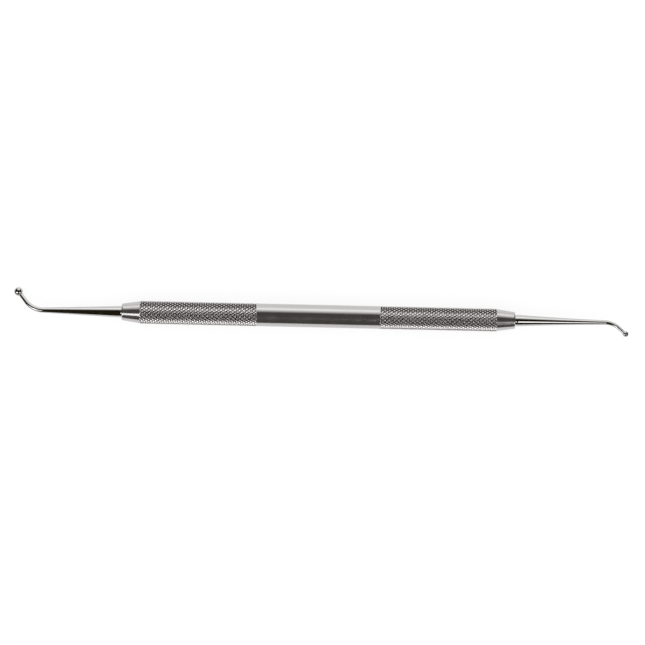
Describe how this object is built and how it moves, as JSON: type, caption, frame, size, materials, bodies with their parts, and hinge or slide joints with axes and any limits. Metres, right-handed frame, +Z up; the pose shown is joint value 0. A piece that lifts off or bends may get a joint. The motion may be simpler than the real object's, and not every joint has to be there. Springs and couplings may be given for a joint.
{
  "type": "ball burnisher",
  "caption": "Double-ended dental ball burnisher: a knurled steel handle with a plain middle band and a bent, tapered tip in each end, one with a larger ball and one with a smaller ball.",
  "frame": {"origin": "on the table that the instrument lies on, under the middle of its outline seen from above", "axes": "+X along the handle towards the small ball, +Y across it towards the side that the large ball leans to, +Z up from the table"},
  "size_m": [0.172, 0.0102, 0.0066],
  "materials": {
    "handle_steel": "finely turned and knurled stainless steel, bright satin",
    "tip_steel": "mirror-polished hardened stainless steel"
  },
  "bodies": {
    "root": {"handle": "handle_steel", "large_ball_tip": "tip_steel", "small_ball_tip": "tip_steel"}
  },
  "joints": []
}
